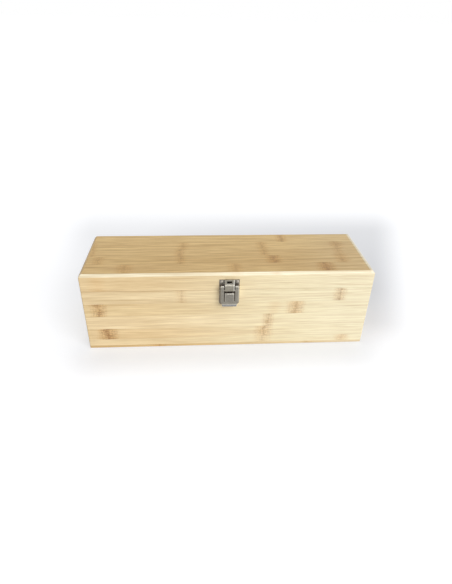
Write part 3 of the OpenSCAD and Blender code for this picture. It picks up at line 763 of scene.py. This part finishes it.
plateNickel = nickelMaterial("Antiqued nickel plate, latch plates", metalFinishes["plate"])
leverNickel = nickelMaterial("Antiqued nickel plate, lever", metalFinishes["lever"])
tongueNickel = nickelMaterial("Antiqued nickel plate, tongue", metalFinishes["tongue"])
# Near-black sheet for the painted shade in the catch's slot
slotShadeFinish = nickelMaterial("Near-black painted shade in the catch's slot", metalFinishes["slot"])
hingeNickel = nickelMaterial("Antiqued nickel plate, hinges", metalFinishes["hinge"])
screwNickel = nickelMaterial("Antiqued nickel plate, screws", metalFinishes["screw"])
# The edges' finish: rubbed, and paler as a painted highlight
rubbedAndHighlitEdge = nickelMaterial("Antiqued nickel plate, rubbed edge", metalFinishes["edge"])
print("metals mixed")


# A copy of a CAD node, welded and with its flat faces made whole. A bevel then rounds the edges
# that turn more than `sharper` degrees, and the rounded faces get the second finish.
def easedMetal(name, node, width, finishes, body, sharper=28):
    mesh = nodes[node].data.copy()
    work = bmesh.new()
    work.from_mesh(mesh)
    bmesh.ops.remove_doubles(work, verts=work.verts, dist=0.001 * mm)
    bmesh.ops.dissolve_limit(work, angle_limit=math.radians(0.5), verts=work.verts, edges=work.edges)
    for face in work.faces:
        face.material_index = 0
    work.to_mesh(mesh)
    work.free()
    mesh.materials.clear()
    for finish in finishes:
        mesh.materials.append(finish)
    mesh.set_sharp_from_angle(angle=math.radians(sharper))
    piece = finishPiece(name, mesh, node, body)
    bevel = piece.modifiers.new("eased", "BEVEL")
    bevel.width = width * mm
    bevel.segments = 2
    bevel.limit_method = "ANGLE"
    bevel.angle_limit = math.radians(sharper)
    bevel.material = 1
    bevel.use_clamp_overlap = False
    piece.modifiers.move(len(piece.modifiers) - 1, 0)


metals = {          # mm
    "plateEdge": 0.16, "leverEdge": 0.14, "screwEdge": 0.08, "hingeEdge": 0.14, "pinEdge": 0.12,
    "slotHalf": 2.86, "slotHeight": 2.86, "slotDepth": 0.12,
    "slotFrom": 9.62,           # from the seam up to the slot
    "slotCorner": 0.2, "slotEase": (0.02, 0.04),
}


def makeMetals(m):
    rows = [
        ("basePlate", "latch_base_plate", m["plateEdge"], plateNickel, "box", "latch_plate_metal"),
        ("catchPlate", "latch_catch_plate", m["plateEdge"], plateNickel, "lid", "latch_plate_metal"),
        ("leverShell", "latch_lever", m["leverEdge"], leverNickel, "lever", "latch_lever_metal"),
        ("tongueBar", "latch_tongue", m["leverEdge"], tongueNickel, "tongue", "latch_lever_metal"),
        ("leverRivets", "lever_rivets", m["pinEdge"], screwNickel, "box", "pin_metal"),
        ("tonguePin", "tongue_pin", m["pinEdge"], screwNickel, "lever", "pin_metal"),
        ("baseScrews", "latch_base_screws", m["screwEdge"], screwNickel, "box", "screw_metal"),
        ("catchScrews", "latch_catch_screws", m["screwEdge"], screwNickel, "lid", "screw_metal"),
        ("hingeScrewsBox", "hinge_body_screws", m["screwEdge"], screwNickel, "box", "screw_metal"),
        ("hingeScrewsLid", "hinge_lid_screws", m["screwEdge"], screwNickel, "lid", "screw_metal"),
    ]
    for side in ("left", "right"):
        rows += [
            (side + "LeafBox", side + "_hinge_body_leaf", m["hingeEdge"], hingeNickel, "box",
             "hinge_metal"),
            (side + "LeafLid", side + "_hinge_lid_leaf", m["hingeEdge"], hingeNickel, "lid",
             "hinge_metal"),
            (side + "HingePin", side + "_hinge_pin", m["pinEdge"], screwNickel, "box", "pin_metal"),
        ]
    for name, node, width, finish, body, slotName in rows:
        easedMetal(name, node, width, [finish, rubbedAndHighlitEdge], body)


# Painted shade: the wood behind the catch's slot is closed off by a near-black strip, a low cover
# laid down on the wood's front face, put where the slot holds only shadow
def makeSlotShadeSheet(m):
    depth, halfHeight = m["slotDepth"], m["slotHeight"] / 2
    profile = softened([(1, 0), (0, 0), (0, depth), (1, depth)], m["slotEase"])
    rings = liftCover(m["slotHalf"], halfHeight, m["slotCorner"], profile)
    across, up, out = np.moveaxis(rings, -1, 0)
    rings = np.stack([across, frontY - out, up + seamZ + m["slotFrom"] + halfHeight], -1)
    mesh = stackRings("slotShadeSheet", rings, [slotShadeFinish])
    finishPiece("slotShadeSheet", mesh, None, "lid")


makeMetals(metals)
makeSlotShadeSheet(metals)
print("latch and hinges finished")
